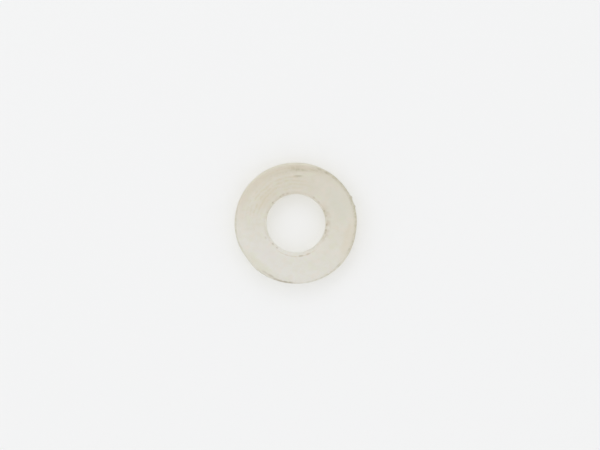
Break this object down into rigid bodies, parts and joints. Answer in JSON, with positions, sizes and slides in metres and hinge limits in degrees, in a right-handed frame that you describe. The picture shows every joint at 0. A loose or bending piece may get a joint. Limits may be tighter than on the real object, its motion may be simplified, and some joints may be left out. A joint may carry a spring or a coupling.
{
  "type": "flat washer",
  "caption": "Flat round washer of milky translucent plastic with a plain central bore, for spreading load or insulating under a screw head or nut.",
  "frame": {"origin": "centre of the bore on the bottom face", "axes": "+Z along the bore's axis, out of the top face; the ring is the same all round, so +X and +Y are any two directions in its plane"},
  "size_m": [0.0118, 0.0118, 0.0016],
  "materials": {
    "natural_nylon": "natural uncoloured plastic, milky and translucent, satin, with faint tool rings and light handling marks"
  },
  "bodies": {
    "root": {"washer": "natural_nylon"}
  },
  "joints": []
}
